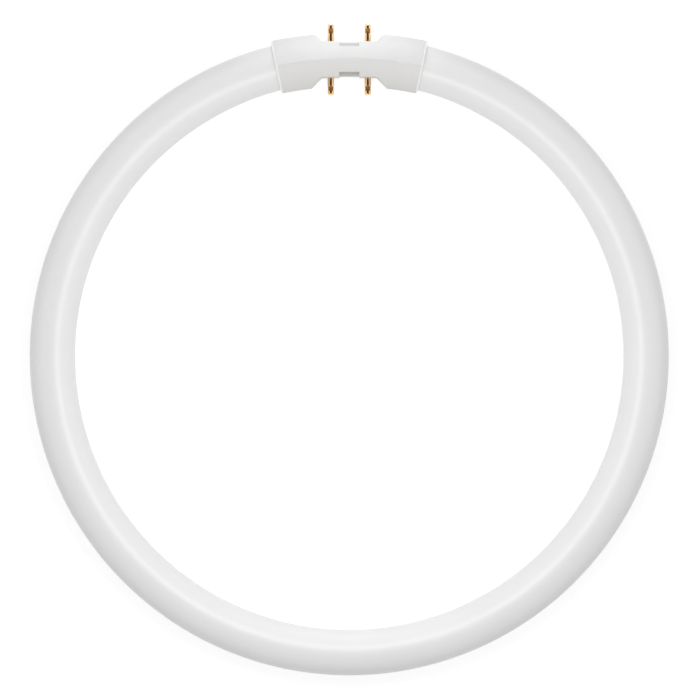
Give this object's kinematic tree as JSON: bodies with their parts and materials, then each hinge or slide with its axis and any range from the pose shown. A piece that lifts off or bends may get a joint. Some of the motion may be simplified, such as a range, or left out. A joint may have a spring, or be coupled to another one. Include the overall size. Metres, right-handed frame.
{
  "type": "circular led tube",
  "caption": "Opal light tube bent to a flat ring and closed by a white moulded cap with a waist, two contact pins outward and two inward.",
  "frame": {"origin": "centre of the ring, on its mid-plane", "axes": "+Z along the ring's axis, +Y from the centre of the ring to the cap and its outward pins"},
  "size_m": [0.225, 0.2293, 0.02],
  "materials": {
    "opal_tube": "opal white, glossy, lets no view through",
    "cap_plastic": "white moulded, satin gloss",
    "pin_brass": "drawn brass, bright",
    "strip_board": "white solder mask on flexible film",
    "led_package": "phosphor filled package",
    "silicone": "white silicone",
    "driver_board": "green glass fibre laminate",
    "black_package": "moulded epoxy",
    "ferrite": "pressed ferrite",
    "capacitor_can": "drawn aluminium can",
    "resistor_body": "lacquered ceramic body",
    "chip_body": "thick film chip",
    "tinned_wire": "tinned copper wire and solder",
    "red_insulation": "red silicone insulation",
    "black_insulation": "black silicone insulation"
  },
  "bodies": {
    "root": {"opal_tube": "opal_tube", "cap_outer_shell": "cap_plastic", "cap_inner_shell": "cap_plastic", "led_strip": "strip_board", "led_packages": "led_package", "strip_bond": "silicone", "tube_bond_left": "silicone", "tube_bond_right": "silicone", "driver_board": "driver_board", "bridge_rectifier": "black_package", "driver_ic": "black_package", "power_inductor": "ferrite", "buffer_capacitor": "capacitor_can", "fuse_resistor": "resistor_body", "chip_resistors": "chip_body", "strip_lead_positive": "red_insulation", "strip_lead_negative": "black_insulation", "pin_outer_left": "pin_brass", "pin_outer_right": "pin_brass", "pin_inner_left": "pin_brass", "pin_inner_right": "pin_brass", "pin_lead_outer_left": "tinned_wire", "pin_lead_outer_right": "tinned_wire", "pin_lead_inner_left": "tinned_wire", "pin_lead_inner_right": "tinned_wire"}
  },
  "joints": []
}
